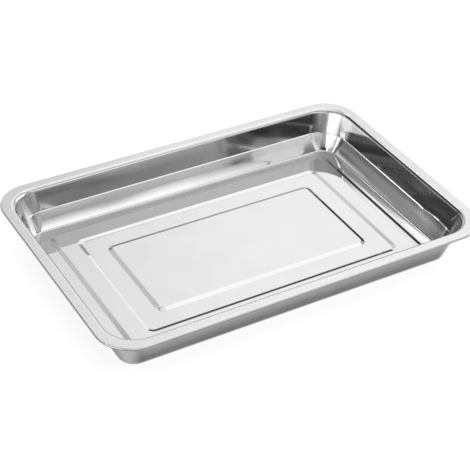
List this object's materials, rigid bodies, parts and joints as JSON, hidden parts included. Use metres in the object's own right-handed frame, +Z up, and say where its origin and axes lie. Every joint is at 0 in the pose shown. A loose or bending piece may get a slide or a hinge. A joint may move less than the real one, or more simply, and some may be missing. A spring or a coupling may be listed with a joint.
{
  "type": "stainless steel tray",
  "caption": "Rectangular pressed stainless steel tray with leaning, creased walls, rounded corners, stepped floor and a flat rim curled round a wire, for holding food, tools or small parts.",
  "frame": {"origin": "middle of the surface that the tray stands on", "axes": "+X along the tray's length, +Y along its width, +Z up out of its mouth"},
  "size_m": [0.45, 0.3, 0.0485],
  "materials": {
    "polished_stainless": "pressed stainless sheet, polished wall and floor, fine satin rim",
    "drawn_wire": "plain drawn steel wire"
  },
  "bodies": {
    "root": {"tray_pan": "polished_stainless", "rim_wire": "drawn_wire"}
  },
  "joints": []
}
